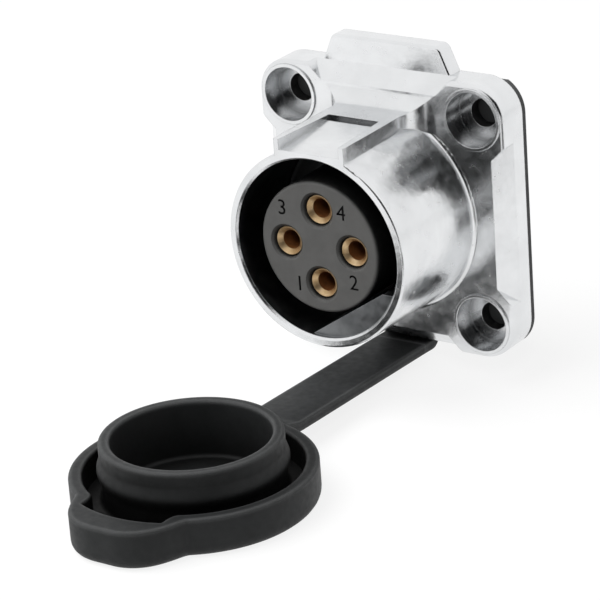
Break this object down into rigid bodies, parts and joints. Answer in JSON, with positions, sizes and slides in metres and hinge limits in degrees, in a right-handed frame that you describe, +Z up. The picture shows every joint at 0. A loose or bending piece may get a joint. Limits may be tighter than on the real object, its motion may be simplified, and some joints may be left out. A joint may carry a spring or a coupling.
{
  "type": "square-flange circular connector receptacle",
  "caption": "Square-flange panel receptacle of a push-latch circular power connector, with socket contacts in a recessed insert and a rubber dust cap on a strap.",
  "frame": {"origin": "centre of the panel-side face of the flange gasket, on the connector's axis", "axes": "+Y into the panel, along the connector's axis; +Z up, towards the tab; +X to the right seen from the front"},
  "size_m": [0.0334, 0.0723, 0.0403],
  "materials": {
    "plated_casting": "bright nickel plate over a zinc casting",
    "insulator_plastic": "moulded, dark grey",
    "gold_plated_contact": "gold plate, warm",
    "spring_steel": "plain",
    "black_rubber": "moulded, satin"
  },
  "bodies": {
    "receptacle": {"receptacle_housing": "plated_casting", "front_insulator": "insulator_plastic", "rear_insulator": "insulator_plastic", "insulator_o_ring": "black_rubber", "retaining_ring": "spring_steel", "interface_seal": "black_rubber", "flange_gasket": "black_rubber", "socket_contact_1": "gold_plated_contact", "socket_contact_2": "gold_plated_contact", "socket_contact_3": "gold_plated_contact", "socket_contact_4": "gold_plated_contact"},
    "strap": {"cap_strap": "black_rubber"},
    "cap": {"dust_cap": "black_rubber"}
  },
  "joints": [
    {"name": "strap_flex", "type": "hinge", "parent": "receptacle", "child": "strap", "pos_m": [0, -0.0006, -0.018], "axis": [1, 0, 0], "range_deg": [0, 85], "stiffness_Nm_per_rad": 0.012, "springref_deg": -4.76},
    {"name": "cap_flex", "type": "hinge", "parent": "strap", "child": "cap", "pos_m": [0, -0.03075, -0.0171], "axis": [1, 0, 0], "range_deg": [-95, 0], "stiffness_Nm_per_rad": 0.006, "springref_deg": -2.98}
  ]
}
